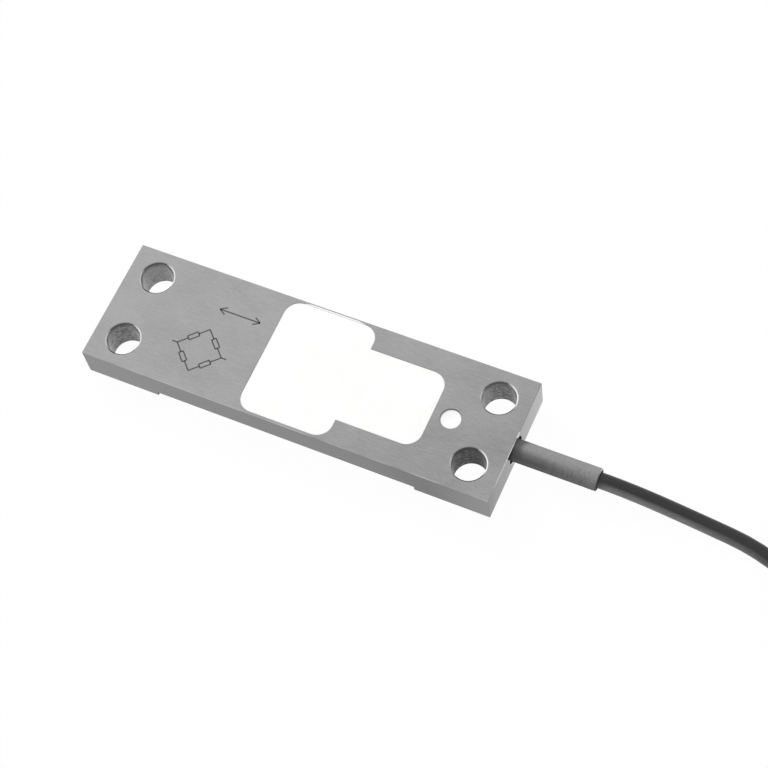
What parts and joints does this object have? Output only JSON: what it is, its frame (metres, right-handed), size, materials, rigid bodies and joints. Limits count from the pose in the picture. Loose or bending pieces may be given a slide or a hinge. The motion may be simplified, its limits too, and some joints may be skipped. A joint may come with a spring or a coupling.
{
  "type": "strain transducer",
  "caption": "Bolt-on strain transducer: flat steel bar with raised bolting pads, round screw holes, a window closed with white compound, and a sleeved cable leaving one end.",
  "frame": {"origin": "under the middle of the bar, on the surface that its two pads stand on", "axes": "+X along the bar towards its cable end, +Y across the bar, +Z out of its top face"},
  "size_m": [0.2215, 0.0345, 0.019],
  "materials": {
    "bar_steel": "fine ground stainless steel, brushed along the bar",
    "white_compound": "cast white compound, matt",
    "sleeve_grey": "grey elastic sleeve, matt",
    "cable_jacket": "dark extruded jacket, satin",
    "tie_plastic": "black strap plastic",
    "shrink_plastic": "black shrunk sleeve",
    "core_white": "core insulation",
    "core_red": "core insulation",
    "core_black": "core insulation",
    "core_blue": "core insulation",
    "tinned_wire": "tinned copper strands",
    "board_laminate": "glass-filled laminate under a green resist",
    "board_copper": "plated copper pads",
    "resistor_body": "coated ceramic chip",
    "solder": "bright solder",
    "carrier_film": "amber film",
    "grid_foil": "etched measuring foil",
    "lead_wire": "lacquered copper wire"
  },
  "bodies": {
    "root": {"measuring_body": "bar_steel", "window_potting": "white_compound", "bore_potting": "white_compound", "strain_relief_sleeve": "sleeve_grey", "cable_in_sleeve": "cable_jacket", "cable_run": "cable_jacket", "cable_hank": "cable_jacket", "cable_tail": "cable_jacket", "hank_ties": "tie_plastic", "tail_shrink": "shrink_plastic", "free_core_white": "core_white", "free_core_red": "core_red", "free_core_black": "core_black", "free_core_blue": "core_blue", "free_drain": "tinned_wire", "core_tips": "tinned_wire", "core_white": "core_white", "core_red": "core_red", "core_black": "core_black", "core_blue": "core_blue", "shield_drain": "tinned_wire", "terminal_board": "board_laminate", "board_pads": "board_copper", "balance_resistors": "resistor_body", "solder_joints": "solder", "gauge_carrier_front": "carrier_film", "gauge_carrier_rear": "carrier_film", "gauge_grids_front": "grid_foil", "gauge_grids_rear": "grid_foil", "gauge_leads_front": "lead_wire", "gauge_leads_rear": "lead_wire"}
  },
  "joints": []
}
